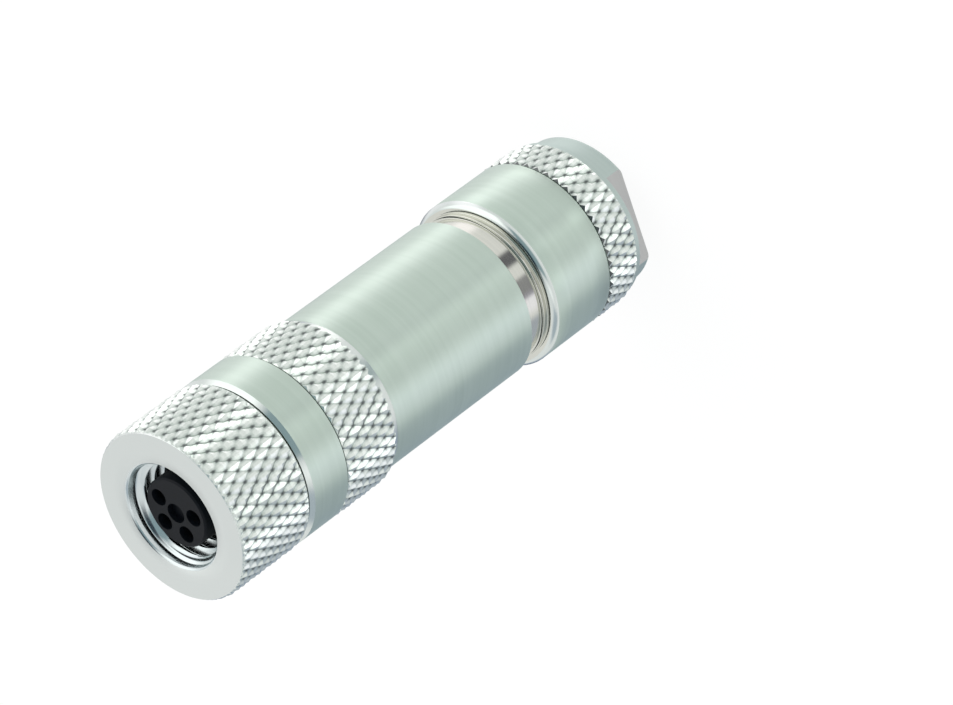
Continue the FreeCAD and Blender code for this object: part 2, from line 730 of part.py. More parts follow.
def socket_contact(number):
    """One contact, drawn on its own axis and then moved to its place in the insert."""
    body_top = "cup_length + contact_body_length"
    contact = turned(f"socket_contact_{number + 1}", [
        ("0", "cup_bore_depth"),
        ("cup_bore_radius", "cup_bore_depth"),
        ("cup_bore_radius", "0"),
        ("cup_radius", "0"),
        ("cup_radius", "cup_length"),
        ("contact_body_radius", "cup_length"),
        ("contact_body_radius", body_top),
        ("contact_collar_radius", body_top),
        ("contact_collar_radius", "contact_shank_length"),
        ("contact_tube_radius", "contact_shank_length"),
        ("contact_tube_radius", "contact_length"),
        ("contact_bore_radius", "contact_length"),
        ("contact_bore_radius", "contact_length - contact_bore_depth"),
        ("0", "contact_length - contact_bore_depth"),
    ], "contact_station")
    cut_slot(contact, f"cup_opening_{number + 1}", "0", "contact_collar_radius", "contact_collar_radius",
             "0", "cup_opening_length", upward=True)
    slot = cut_slot(contact, f"contact_slot_{number + 1}", "0", "contact_collar_radius",
                    "contact_slot_half_width", "contact_length", "contact_slot_depth")
    repeat_round(contact, slot, "contact_slot_count", "360 / Sizes.contact_slot_count")
    angle = f"(Sizes.first_contact_angle + {number} * 360 / Sizes.contact_positions)"
    turn_about_axis(contact, angle)
    contact.setExpression("Placement.Base.x", f"Sizes.contact_circle_radius * cos({angle} * 1 deg)")
    contact.setExpression("Placement.Base.y", f"Sizes.contact_circle_radius * sin({angle} * 1 deg)")


def build():
    clamp_nut()
    pinch_ring()
    seal_stack()
    rear_body()
    shield_ring()
    body_sleeve()
    insulating_sleeve()
    front_body()
    coupling_nut()
    nut_snap_ring()
    contact_insert()
    insert_retainer()
    for number in range(int(value("contact_count"))):
        socket_contact(number)
    doc.recompute()


def check_and_write():
    """Stops on any failed object, then writes one file for each piece."""
    for item in doc.Objects:
        if "Invalid" in item.State or "Error" in item.State:
            raise RuntimeError(f"{item.Label} failed: {item.State}")
    os.makedirs("parts", exist_ok=True)
    for piece in pieces:
        shape = piece.Shape
        if shape.isNull() or not shape.isValid() or len(shape.Solids) != 1:
            raise RuntimeError(piece.Label + " is not one valid solid")
        shape.exportStep(f"parts/{piece.Label}.step")
        box = shape.BoundBox
        print(f"{piece.Label:20s} {shape.Volume:9.2f} mm3  z {box.ZMin:6.2f} to {box.ZMax:6.2f}"
              f"  r {max(box.XMax, box.YMax):5.2f}")


fill_sheet()
build()
check_and_write()
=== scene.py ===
import math
import bmesh
import bpy
from mathutils import Matrix, Vector


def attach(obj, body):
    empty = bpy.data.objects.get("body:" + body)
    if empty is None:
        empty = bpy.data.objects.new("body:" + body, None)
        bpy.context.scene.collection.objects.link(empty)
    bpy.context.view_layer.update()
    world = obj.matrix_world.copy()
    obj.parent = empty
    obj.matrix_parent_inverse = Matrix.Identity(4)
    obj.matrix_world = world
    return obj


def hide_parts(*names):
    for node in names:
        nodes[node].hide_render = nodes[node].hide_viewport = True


# Circular cable connector, four contacts, standing on its clamp nut.
# Z is the connector's axis, and z = 0 is the clamp nut's end face.
# Blender's own values are in metres. The sizes named below are in millimetres, and MM turns them into metres.
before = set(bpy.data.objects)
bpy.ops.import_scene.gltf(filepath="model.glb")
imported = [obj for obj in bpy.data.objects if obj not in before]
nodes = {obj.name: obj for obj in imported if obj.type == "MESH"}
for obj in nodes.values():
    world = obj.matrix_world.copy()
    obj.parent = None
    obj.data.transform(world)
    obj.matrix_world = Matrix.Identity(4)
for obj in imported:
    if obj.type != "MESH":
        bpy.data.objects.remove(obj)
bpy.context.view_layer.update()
MM = 0.001


# Diamond knurl, as the frame has it

KNURL_PITCHES = 45
KNURL_CREST = 6.6
KNURL_DEPTH = 0.2
HALF_TURN = math.pi / KNURL_PITCHES
HALF_RISE = KNURL_CREST * HALF_TURN / math.tan(math.radians(30))
CLAMP_KNURL_BASE, SLEEVE_KNURL_BASE, NUT_KNURL_BASE = 1.9, 27.95, 37.15


# Shader helpers

# Sizes of the metal's uneven patches, and how much the turning lines are drawn out round the axis.
PATCH_SCALE = 300
PATCH_DETAIL = 3
LINE_SQUEEZE = 0.02
PATCH_SHARE, LINE_SHARE = 0.4, 0.6

# Painted shade on a knurl: what its colour is multiplied by, from the darkest shade in the pits to none on the
# points.
PAINTED_PIT_SHADE_STOPS = ((0.0, (0.09, 0.10, 0.105, 1)), (0.10, (0.32, 0.34, 0.34, 1)),
             (0.27, (0.70, 0.73, 0.72, 1)), (0.46, (0.80, 0.83, 0.82, 1)), (0.64, (1, 1, 1, 1)))


def new_material(name):
    material = bpy.data.materials.new(name)
    material.use_nodes = True
    tree = material.node_tree
    return material, tree.nodes, tree.links, tree.nodes["Principled BSDF"]


def add(tree_nodes, kind, **settings):
    node = tree_nodes.new(kind)
    for key, setting in settings.items():
        setattr(node, key, setting)
    return node


def math_node(tree_nodes, links, operation, first, second=None):
    node = add(tree_nodes, "ShaderNodeMath", operation=operation)
    for slot_number, given in enumerate((first, second)):
        if given is None:
            continue
        if isinstance(given, (int, float)):
            node.inputs[slot_number].default_value = given
        else:
            links.new(given, node.inputs[slot_number])
    return node.outputs[0]


def stretched_noise(tree_nodes, links, scale, detail, across, along):
    """Noise in the part's own metres, scaled apart across and along the axis."""
    place = add(tree_nodes, "ShaderNodeTexCoord")
    mapping = add(tree_nodes, "ShaderNodeMapping")
    mapping.inputs["Scale"].default_value = (across, across, along)
    links.new(place.outputs["Object"], mapping.inputs["Vector"])
    noise = add(tree_nodes, "ShaderNodeTexNoise")
    noise.inputs["Scale"].default_value = scale
    noise.inputs["Detail"].default_value = detail
    links.new(mapping.outputs["Vector"], noise.inputs["Vector"])
    return noise.outputs["Fac"]


def spread(tree_nodes, links, fac, low, high):
    """Maps a 0 to 1 value onto a narrow range."""
    node = add(tree_nodes, "ShaderNodeMapRange")
    links.new(fac, node.inputs["Value"])
    node.inputs["To Min"].default_value = low
    node.inputs["To Max"].default_value = high
    return node.outputs["Result"]


def two_tones(tree_nodes, links, fac, dark, light):
    ramp = add(tree_nodes, "ShaderNodeValToRGB")
    ramp.color_ramp.elements[0].color = (*dark, 1)
    ramp.color_ramp.elements[1].color = (*light, 1)
    ramp.color_ramp.elements[0].position = 0.3
    ramp.color_ramp.elements[1].position = 0.7
    links.new(fac, ramp.inputs["Fac"])
    return ramp.outputs["Color"]


def knurl_pits(tree_nodes, links, base):
    """0 at the pits where the grooves of a knurl cross, 0.5 along a groove, 1 on the points."""
    place = add(tree_nodes, "ShaderNodeTexCoord")
    split = add(tree_nodes, "ShaderNodeSeparateXYZ")
    links.new(place.outputs["Object"], split.inputs[0])
    angle = math_node(tree_nodes, links, "ARCTAN2", split.outputs["Y"], split.outputs["X"])
    rise = math_node(tree_nodes, links, "SUBTRACT", split.outputs["Z"], base * MM)
    waves = []
    for along, half in ((angle, HALF_TURN), (rise, HALF_RISE * MM)):
        phase = math_node(tree_nodes, links, "MULTIPLY", along, math.pi / half)
        waves.append(math_node(tree_nodes, links, "COSINE", phase))
    crossed = math_node(tree_nodes, links, "MULTIPLY", *waves)
    half_height = math_node(tree_nodes, links, "MULTIPLY", crossed, 0.5)
    return math_node(tree_nodes, links, "ADD", half_height, 0.5)


def painted_pit_shade(tree_nodes, links, colour, base):
    """Paints shade into a knurl's colour, darkest in its pits and lighter along its grooves."""
    ramp = add(tree_nodes, "ShaderNodeValToRGB")
    stops = ramp.color_ramp.elements
    stops[0].position, stops[0].color = PAINTED_PIT_SHADE_STOPS[0]
    stops[1].position, stops[1].color = PAINTED_PIT_SHADE_STOPS[-1]
    for position, shade in PAINTED_PIT_SHADE_STOPS[1:-1]:
        stops.new(position).color = shade
    links.new(knurl_pits(tree_nodes, links, base), ramp.inputs["Fac"])
    product = add(tree_nodes, "ShaderNodeVectorMath", operation="MULTIPLY")
    links.new(colour, product.inputs[0])
    links.new(ramp.outputs["Color"], product.inputs[1])
    return product.outputs[0]


def metal(name, dark, light, rough, turning, turning_height, stretch=0.0, edge_round=0.0, knurl_base=None):
    """Plated metal with fine lines left by turning, and small uneven patches in its polish.

    Turning is how many lines there are, and their height is in metres, as edge_round is. Stretch
    draws the reflections out across the turning lines, which run round the axis.
    """
    material, n, links, shader = new_material(name)
    shader.inputs["Metallic"].default_value = 1.0
    shader.inputs["Anisotropic"].default_value = stretch
    shader.inputs["Anisotropic Rotation"].default_value = 0.25
    if stretch:
        round_axis = add(n, "ShaderNodeTangent", direction_type="RADIAL", axis="Z")
        links.new(round_axis.outputs["Tangent"], shader.inputs["Tangent"])
    patches = stretched_noise(n, links, PATCH_SCALE, PATCH_DETAIL, 1, 1)
    lines = stretched_noise(n, links, turning, 2, LINE_SQUEEZE, 1)
    uneven = math_node(n, links, "ADD", math_node(n, links, "MULTIPLY", patches, PATCH_SHARE),
                       math_node(n, links, "MULTIPLY", lines, LINE_SHARE))
    colour = two_tones(n, links, uneven, dark, light)
    # On a knurl, the colour gets painted shade, darkest in the pits and lighter along the grooves.
    if knurl_base is not None:
        colour = painted_pit_shade(n, links, colour, knurl_base)
    links.new(colour, shader.inputs["Base Color"])
    links.new(spread(n, links, patches, rough * 0.85, rough * 1.15), shader.inputs["Roughness"])
    bump = add(n, "ShaderNodeBump")
    bump.inputs["Strength"].default_value = 1.0
    bump.inputs["Distance"].default_value = turning_height
    links.new(lines, bump.inputs["Height"])
    if edge_round:
        bevel = add(n, "ShaderNodeBevel", samples=6)
        bevel.inputs["Radius"].default_value = edge_round
        links.new(bevel.outputs["Normal"], bump.inputs["Normal"])
    links.new(bump.outputs["Normal"], shader.inputs["Normal"])
    return material


def matte(name, dark, light, rough, grain, grain_height, specular=0.5):
    """Moulded plastic or rubber with a fine grain."""
    material, n, links, shader = new_material(name)
    patches = stretched_noise(n, links, grain, PATCH_DETAIL, 1, 1)
    links.new(two_tones(n, links, patches, dark, light), shader.inputs["Base Color"])
    links.new(spread(n, links, patches, rough * 0.9, rough * 1.1), shader.inputs["Roughness"])
    shader.inputs["Specular IOR Level"].default_value = specular
    bump = add(n, "ShaderNodeBump")
    bump.inputs["Distance"].default_value = grain_height
    links.new(patches, bump.inputs["Height"])
    links.new(bump.outputs["Normal"], shader.inputs["Normal"])
    return material


# Knurled nickel, with painted shade in its pits and along its grooves.
def knurled(name, base):
    return metal(name, (0.64, 0.695, 0.655), (0.72, 0.77, 0.73), 0.17, 4000, 0.0000005,
                 edge_round=0.00004, knurl_base=base)


nickel = metal("nickel", (0.465, 0.56, 0.495), (0.515, 0.61, 0.545), 0.38, 3200, 0.0000015, 0.75)
clamp_nickel = metal("clamp_nickel", (0.42, 0.50, 0.475), (0.46, 0.54, 0.51), 0.5, 3200, 0.000001)
milled_nickel = metal("milled_nickel", (0.395, 0.405, 0.385), (0.435, 0.445, 0.42), 0.42, 5000, 0.000001)
# Near black nickel: painted shade on the sleeve's rear end face, which darkens the neck's reflections, and on
# the knurl's ends beside the rear band.
shade_painted_nickel = metal("shade_painted_nickel", (0.10, 0.11, 0.11), (0.15, 0.16, 0.16), 0.3, 5000, 0.000001)
face_nickel = metal("face_nickel", (0.68, 0.715, 0.70), (0.71, 0.745, 0.73), 0.5, 3000, 0.000001)
bright_nickel = metal("bright_nickel", (0.60, 0.655, 0.635), (0.67, 0.715, 0.69), 0.14, 7000, 0.0000006)
neck_nickel = metal("neck_nickel", (0.59, 0.60, 0.55), (0.65, 0.66, 0.60), 0.13, 7000, 0.0000004)
bore_nickel = metal("bore_nickel", (0.56, 0.625, 0.635), (0.64, 0.69, 0.69), 0.2, 7000, 0.0000006)
clamp_knurl = knurled("clamp_knurl", CLAMP_KNURL_BASE)
sleeve_knurl = knurled("sleeve_knurl", SLEEVE_KNURL_BASE)
nut_knurl = knurled("nut_knurl", NUT_KNURL_BASE)
insert_black = matte("insert_black", (0.002, 0.004, 0.006), (0.005, 0.007, 0.011), 0.5, 2500, 0.000003, 0.15)
rubber_black = matte("rubber_black", (0.008, 0.009, 0.010), (0.018, 0.019, 0.021), 0.6, 3000, 0.000006)
insulator_plastic = matte("insulator_plastic", (0.10, 0.10, 0.11), (0.14, 0.14, 0.15), 0.45, 1500, 0.000004)
spring_steel = metal("spring_steel", (0.38, 0.39, 0.40), (0.46, 0.47, 0.48), 0.3, 6000, 0.000001)
gold = metal("gold", (0.80, 0.58, 0.22), (0.88, 0.66, 0.30), 0.22, 8000, 0.000001)


# Turned pieces, finer than the frame's: the coupling nut with its thread, and the rear body

COLUMNS = 360
ROWS_A_PITCH = 24
FLANK_SLOPE = math.tan(math.radians(60))
CRISP_ANGLE = math.radians(24)
BLUNT_ANGLE = math.radians(50)
WELD = 2e-7


def straight(profile, z):
    """Radius at a height, on an outline of straight lines given as (radius, height) with heights rising."""
    for (r_low, z_low), (r_high, z_high) in zip(profile, profile[1:]):
        if z_low <= z <= z_high:
            return r_low + (r_high - r_low) * (z - z_low) / (z_high - z_low)
    raise ValueError("height outside the outline")


def soft_max(first, second, width):
    return (first + second + math.hypot(first - second, width)) / 2


def knurl_radius(angle, z, base):
    """Pyramids of the diamond knurl, as the frame has them."""
    column, row = angle / HALF_TURN, (z - base) / HALF_RISE
    left, low = math.floor(column), math.floor(row)
    u, v = column - left, row - low
    crest_low = (left + low) % 2 == 0
    height = abs(u + v - 1) if crest_low else abs(u - v)
    return KNURL_CREST - KNURL_DEPTH * (1 - height)


def thread_depth(angle, z, crest_z, pitch):
    """Depth of a right-hand 60 degree thread below its crest, which is one eighth of the pitch wide."""
    turns = (z - crest_z) / pitch - angle / (2 * math.pi)
    from_crest = abs(turns - round(turns)) * pitch
    return max(0.0, from_crest - pitch / 16) * FLANK_SLOPE


class Ring:
    """A closed skin round the axis, drawn row by row, all of it in millimetres."""

    def __init__(self):
        self.verts = []
        self.faces = []
        self.parts = []
        self.first = None
        self.last = None

    def point(self, column, radius, z):
        angle = 2 * math.pi * column / COLUMNS
        r = radius(angle, z) if callable(radius) else radius
        self.verts.append((r * math.cos(angle) * MM, r * math.sin(angle) * MM, z * MM))

    def quad(self, a, b, c, d, part):
        """Two triangles, divided along the shorter diagonal."""
        va, vb, vc, vd = (Vector(self.verts[index]) for index in (a, b, c, d))
        if (va - vc).length <= (vb - vd).length:
            self.faces += [(a, b, c), (a, c, d)]
        else:
            self.faces += [(a, b, d), (b, c, d)]
        self.parts += [part, part]

    def join(self, low, high, part):
        for column in range(COLUMNS):
            beside = (column + 1) % COLUMNS
            self.quad(low[column], low[beside], high[beside], high[column], part)

    def row(self, z, radius, part):
        """Adds a row at one height, and the skin from the last row to it.

        Radius is a number, or a function of angle and height.
        """
        start = len(self.verts)
        for column in range(COLUMNS):
            self.point(column, radius, z)
        circle = range(start, start + COLUMNS)
        if self.last:
            self.join(self.last, circle, part)
        else:
            self.first = circle
        self.last = circle

    def helix(self, low, high, pitch, radius, part):
        """Rows that climb with a thread. They are joined from the high end down to the low one."""
        rise = pitch / ROWS_A_PITCH
        count = ROWS_A_PITCH + math.ceil((high - low) / rise)
        grid = []
        for row in range(count + 1):
            grid.append(len(self.verts))
            for column in range(COLUMNS):
                z = low + (row - ROWS_A_PITCH) * rise + pitch * column / COLUMNS
                self.point(column, radius, min(high, max(low, z)))
        for row in range(count):
            for column in range(COLUMNS):
                a, d = grid[row] + column, grid[row + 1] + column
                if column + 1 < COLUMNS:
                    b, c = a + 1, d + 1
                else:
                    b = grid[min(count, row + ROWS_A_PITCH)]
                    c = grid[min(count, row + 1 + ROWS_A_PITCH)]
                self.quad(a, b, c, d, part)
        self.join(self.last, range(grid[count], grid[count] + COLUMNS), part)
        self.last = range(grid[0], grid[0] + COLUMNS)

    def finish(self, name, body, stands_for, materials, crisp):
        """Closes the skin. Within the crisp parts, edges stay sharp from a smaller angle on."""
        self.join(self.last, self.first, 0)
        mesh = bpy.data.meshes.new(name)
        mesh.from_pydata(self.verts, [], self.faces)
        for material in materials:
            mesh.materials.append(material)
        mesh.polygons.foreach_set("material_index", self.parts)
        skin = bmesh.new()
        skin.from_mesh(mesh)
        bmesh.ops.remove_doubles(skin, verts=skin.verts, dist=WELD)
        bmesh.ops.recalc_face_normals(skin, faces=skin.faces)
        for face in skin.faces:
            face.smooth = True
        for edge in skin.edges:
            sides = [face.material_index for face in edge.link_faces]
            limit = CRISP_ANGLE if all(side in crisp for side in sides) else BLUNT_ANGLE
            edge.smooth = len(sides) != 2 or edge.calc_face_angle() < limit
        skin.to_mesh(mesh)
        skin.free()
        ring = bpy.data.objects.new(name, mesh)
        bpy.context.scene.collection.objects.link(ring)
        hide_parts(stands_for)
        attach(ring, body)
        return ring


# Coupling nut: heights of its edges, then its radii

NUT_BASE, NUT_BREAK_TOP, NUT_CHAMFER_BASE, NUT_TOP = 37.45, 37.65, 43.78, 44.1
NUT_LIP_TOP, NUT_BORE_BASE, NUT_TAPER_BASE, NUT_TAPER_TOP, NUT_MOUTH_BASE = 38.5, 39.8, 42.9, 43.2, 43.95
NUT_REAR_RADIUS, NUT_BLANK_RADIUS, NUT_FACE_RADIUS, NUT_FACE_MIDDLE = 6.42, 6.62, 6.38, 5.2
NUT_LIP_RADIUS, NUT_RECESS_RADIUS = 4.83, 5.4
NUT_CREST, NUT_TAPER_RADIUS, NUT_ROOT, NUT_MOUTH = 3.46, 3.72, 4.0, 4.15
NUT_BLANK = [(NUT_REAR_RADIUS, NUT_BASE), (NUT_BLANK_RADIUS, NUT_BREAK_TOP),
             (NUT_BLANK_RADIUS, NUT_CHAMFER_BASE), (NUT_FACE_RADIUS, NUT_TOP)]
NUT_BORE = [(NUT_CREST, NUT_BORE_BASE), (NUT_CREST, NUT_TAPER_BASE),
            (NUT_TAPER_RADIUS, NUT_TAPER_TOP), (NUT_ROOT, NUT_MOUTH_BASE)]
ROW_GAP = 0.01
BREAK_ROW, CHAMFER_ROW = 0.05, 0.04
KNURL_ROWS = 40

# Its M8 x 1 thread: the height of a crest at angle 0, and where the thread starts and runs out.
COUPLING_PITCH = 1.0
NUT_CREST_Z = 42.74
NUT_THREAD_BASE = NUT_CREST_Z - COUPLING_PITCH * (2 + 20.5 / ROWS_A_PITCH)
NUT_THREAD_TOP = NUT_MOUTH_BASE - ROW_GAP
THREAD_ROUND = 0.02


def nut_skin(angle, z):
    return min(straight(NUT_BLANK, z), knurl_radius(angle, z, NUT_KNURL_BASE))


def nut_thread(angle, z):
    depth = thread_depth(angle, z, NUT_CREST_Z, COUPLING_PITCH)
    return soft_max(straight(NUT_BORE, z), min(NUT_ROOT, NUT_CREST + depth), THREAD_ROUND)


def coupling_nut():
    outside, face, bore = 0, 1, 2
    heights = [NUT_KNURL_BASE + HALF_RISE / 4 * index for index in range(KNURL_ROWS)]
    heights = [z for z in heights if NUT_BASE + ROW_GAP < z < NUT_TOP - ROW_GAP]
    heights += [NUT_BASE + BREAK_ROW * index for index in range(5)]
    heights += [NUT_CHAMFER_BASE + CHAMFER_ROW * index for index in range(8)]
    nut = Ring()
    nut.row(NUT_BASE, NUT_LIP_RADIUS, outside)
    for z in sorted(heights):
        nut.row(z, nut_skin, outside)
    nut.row(NUT_TOP, NUT_FACE_RADIUS, outside)
    nut.row(NUT_TOP, NUT_FACE_MIDDLE, face)
    nut.row(NUT_TOP, NUT_MOUTH, face)
    nut.row(NUT_MOUTH_BASE, NUT_ROOT, bore)
    nut.helix(NUT_THREAD_BASE, NUT_THREAD_TOP, COUPLING_PITCH, nut_thread, bore)
    nut.row(NUT_THREAD_BASE - ROW_GAP, NUT_CREST, bore)
    nut.row(NUT_BORE_BASE, NUT_CREST, bore)
    nut.row(NUT_BORE_BASE, NUT_RECESS_RADIUS, bore)
    nut.row(NUT_LIP_TOP, NUT_RECESS_RADIUS, bore)
    nut.row(NUT_LIP_TOP, NUT_LIP_RADIUS, bore)
    return nut.finish("coupling_nut_threaded", "coupling", "coupling_nut",
                      (nut_knurl, face_nickel, bore_nickel), (outside,))


# Rear body: heights of its edges, then its radii. The neck in front of the band has a wide land,
# a small step, and a longer land that goes on under the sleeve.

BAND_BASE, BAND_BREAK_TOP, BAND_CHAMFER_BASE = 5.4, 5.5, 11.1
NECK_BASE, NECK_STEP, NECK_TOP = 11.5, 11.88, 13.5
CLAMP_THREAD_TOP, SEAL_CHAMBER_TOP, SHIELD_SEAT_BASE, REAR_BODY_TOP = 9.6, 16.6, 18.2, 19.6
SPIGOT_TOP, GROOVE_BASE, GROOVE_TOP = 16.55, 17.35, 18.15
BAND_EDGE, BAND_RADIUS, BAND_FRONT = 6.44, 6.54, 6.14
LAND_RADIUS, NECK_RADIUS, SPIGOT_RADIUS, REAR_SPIGOT_RADIUS, GROOVE_RADIUS = 5.8, 5.55, 5.15, 4.9, 4.05
CLAMP_THREAD_RADIUS, SEAL_CHAMBER_RADIUS, THROAT_RADIUS, SHIELD_SEAT_RADIUS = 4.9, 4.5, 3.3, 3.8
SOFT_EDGE, HOLD = 0.03, 0.02

REAR_BAND = [(CLAMP_THREAD_RADIUS, CLAMP_THREAD_TOP), (CLAMP_THREAD_RADIUS, BAND_BASE), (BAND_EDGE, BAND_BASE),
             (BAND_RADIUS, BAND_BREAK_TOP), (BAND_RADIUS, 7.4), (BAND_RADIUS, 9.3),
             (BAND_RADIUS, BAND_CHAMFER_BASE), (BAND_FRONT, NECK_BASE)]
NECK = [(LAND_RADIUS + SOFT_EDGE + HOLD, NECK_BASE), (LAND_RADIUS + SOFT_EDGE, NECK_BASE),
        (LAND_RADIUS, NECK_BASE + SOFT_EDGE), (LAND_RADIUS, NECK_BASE + SOFT_EDGE + HOLD),
        (LAND_RADIUS, NECK_STEP - SOFT_EDGE - HOLD), (LAND_RADIUS, NECK_STEP - SOFT_EDGE),
        (LAND_RADIUS - SOFT_EDGE, NECK_STEP), (LAND_RADIUS - SOFT_EDGE - HOLD, NECK_STEP),
        (NECK_RADIUS + SOFT_EDGE, NECK_STEP), (NECK_RADIUS, NECK_STEP + SOFT_EDGE),
        (NECK_RADIUS, NECK_STEP + SOFT_EDGE + HOLD), (NECK_RADIUS, NECK_TOP)]
REAR_SPIGOT = [(SPIGOT_RADIUS, NECK_TOP), (SPIGOT_RADIUS, SPIGOT_TOP), (REAR_SPIGOT_RADIUS, SPIGOT_TOP),
               (REAR_SPIGOT_RADIUS, GROOVE_BASE), (GROOVE_RADIUS, GROOVE_BASE), (GROOVE_RADIUS, GROOVE_TOP),
               (REAR_SPIGOT_RADIUS, GROOVE_TOP), (REAR_SPIGOT_RADIUS, REAR_BODY_TOP)]
REAR_BORE = [(SHIELD_SEAT_RADIUS, REAR_BODY_TOP), (SHIELD_SEAT_RADIUS, SHIELD_SEAT_BASE),
             (THROAT_RADIUS, SHIELD_SEAT_BASE), (THROAT_RADIUS, SEAL_CHAMBER_TOP),
             (SEAL_CHAMBER_RADIUS, SEAL_CHAMBER_TOP), (SEAL_CHAMBER_RADIUS, CLAMP_THREAD_TOP)]


def rear_body():
    band, bright, neck = 0, 1, 2
    piece = Ring()
    for stretch, part in ((REAR_BAND[:2], bright), (REAR_BAND[2:-1], band), (REAR_BAND[-1:], bright),
                          (NECK, neck), (REAR_SPIGOT, bright), (REAR_BORE, bright)):
        for radius, z in stretch:
            piece.row(z, radius, part)
    return piece.finish("rear_body_turned", "shell", "rear_body",
                        (nickel, bright_nickel, neck_nickel), ())


# Finishes, first for each whole node and then for its zones

finishes = {
    "clamp_nut": clamp_knurl, "coupling_nut": nut_knurl, "body_sleeve": sleeve_knurl,
    "rear_body": nickel, "front_body": nickel, "shield_ring": nickel, "insert_retainer": nickel,
    "pinch_ring": insulator_plastic, "insulating_sleeve": insulator_plastic,
    "seal_washer": spring_steel, "nut_snap_ring": spring_steel, "contact_insert": insert_black,
    "cable_seal": rubber_black, "rear_sealing_ring": rubber_black,
    "front_sealing_ring": rubber_black, "face_seal": rubber_black,
    "socket_contact_1": gold, "socket_contact_2": gold, "socket_contact_3": gold, "socket_contact_4": gold,
}
for name, material in finishes.items():
    slots = nodes[name].data.materials
    if not slots:
        slots.append(material)
    for index in range(len(slots)):
        slots[index] = material


def finish_zones(piece, zones):
    """Gives some faces another finish, by a test on their radius, height and the slope of their normal.

    Radius and height are in millimetres. Each limit lies between two edges of the piece.
    """
    mesh, placed = piece.data, piece.matrix_world
    for material, test in zones:
        mesh.materials.append(material)
        number = len(mesh.materials) - 1
        for polygon in mesh.polygons:
            middle = placed @ polygon.center
            if test(math.hypot(middle.x, middle.y) / MM, middle.z / MM, polygon.normal.z):
                polygon.material_index = number


# The barrel and the bore, the cone behind the knurl, and the rear end face, which is painted near black as
# shade.
finish_zones(nodes["body_sleeve"], [
    (nickel, lambda r, z, tilt: z < SLEEVE_KNURL_BASE or r < 6.0),
    (bright_nickel, lambda r, z, tilt: SLEEVE_KNURL_BASE < z < 28.9 and r > 6.1 and -0.5 < tilt < -0.3),
    (shade_painted_nickel, lambda r, z, tilt: z < 13.6 and tilt < -0.9),
])
# The band's front edge.
finish_zones(nodes["front_body"], [(bright_nickel, lambda r, z, tilt: z > 36.9 and r > 6.2)])
# The shank and the head's face, the round end, its two flats, and the ends of the knurl beside the rear band,
# which are painted near black as shade.
finish_zones(nodes["clamp_nut"], [
    (bright_nickel, lambda r, z, tilt: r < 5.9 or tilt > 0.9),
    (clamp_nickel, lambda r, z, tilt: z < 2.35 and r > 3.4),
    (milled_nickel, lambda r, z, tilt: z < 1.85 and 3.4 < r < 5.88 and abs(tilt) < 0.1),
    (shade_painted_nickel, lambda r, z, tilt: z > 5.05 and r > 6.2 and tilt > 0.5),
])
# The chamfer at the front.
finish_zones(coupling_nut(), [
    (bright_nickel, lambda r, z, tilt: 43.7 < z < 44.09 and r > 6.2 and tilt > 0.45),
])
rear_body()


# Studio: a white surround, with soft boxes and darker cards standing before it

# Azimuth, half width, elevation, half height and soft edge in degrees, and what each adds to the white.
PANELS = (
    (6, 17, -20, 42, 9, (0.46, 0.40, 0.44)),
    (2, 9, -14, 8, 5, (1.00, 0.95, 0.95)),
    (27, 10, -51, 8, 5, (1.10, 1.10, 1.05)),
    (-89, 10, -63, 8, 5, (1.20, 1.20, 1.15)),
    (-90, 6, -11, 5, 3, (0.80, 0.80, 0.80)),
    (-134, 8, -13, 7, 4, (0.90, 0.90, 0.90)),
    (-153, 9, -60, 8, 5, (0.90, 0.90, 0.90)),
    (-80, 11, -37, 5, 4, (-0.90, -0.90, -0.88)),
    (-80, 15, -21, 6, 4, (0.36, 0.34, 0.36)),
    (-80, 15, -53, 6, 4, (0.36, 0.34, 0.36)),
    (-128, 16, -37, 5, 4, (-0.70, -0.70, -0.68)),
    (-128, 19, -21, 6, 4, (0.34, 0.32, 0.34)),
    (-128, 19, -53, 6, 4, (0.34, 0.32, 0.34)),
    (44, 22, -30, 40, 10, (0.12, 0.10, 0.12)),
    (-153, 14, -32, 30, 8, (0.20, 0.18, 0.27)),
    (138, 44, -36, 22, 8, (-0.50, -0.46, -0.38)),
    (116, 20, -36, 24, 8, (-0.14, -0.12, -0.10)),
    (76, 14, -40, 38, 8, (-0.45, -0.42, -0.38)),
    (-90, 42, 54, 20, 8, (-0.68, -0.58, -0.55)),
    (0, 200, 90, 18, 7, (-0.97, -0.95, -0.93)),
    (5, 40, 42, 20, 8, (0.60, 0.60, 0.58)),
    (-153, 9, 44, 12, 6, (0.22, 0.22, 0.22)),
    (168, 20, 28, 16, 8, (-0.48, -0.42, -0.36)),
    (0, 200, -90, 7, 4, (-0.58, -0.50, -0.48)),
    (42, 14, -60, 10, 5, (0.40, 0.40, 0.36)),
)
WHITE = (1, 1, 1, 1)
MATT_SURROUND = (0.95, 0.95, 0.95, 1)
DARKEST = (0.02, 0.02, 0.025)


